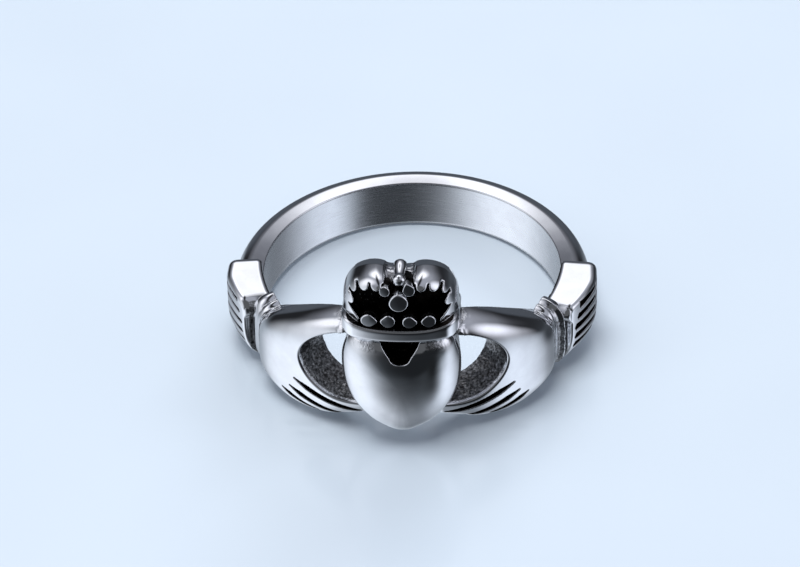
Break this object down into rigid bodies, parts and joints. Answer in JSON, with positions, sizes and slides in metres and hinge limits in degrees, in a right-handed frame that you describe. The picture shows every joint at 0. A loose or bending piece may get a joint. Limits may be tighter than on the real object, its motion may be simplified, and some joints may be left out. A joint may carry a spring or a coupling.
{
  "type": "claddagh ring",
  "caption": "Finger ring with two hands that hold a domed heart under a crown, pleated cuffs, and a plain D shaped band.",
  "frame": {"origin": "centre of the finger hole, half way up the plain band", "axes": "+Z along the finger axis, towards the crown; -Y from the finger hole out through the heart; +X across the face, to the right of someone who looks at the heart"},
  "size_m": [0.0238, 0.0247, 0.0123],
  "materials": {
    "steel": "polished, with blackened recesses"
  },
  "bodies": {
    "root": {"ring": "steel"}
  },
  "joints": []
}
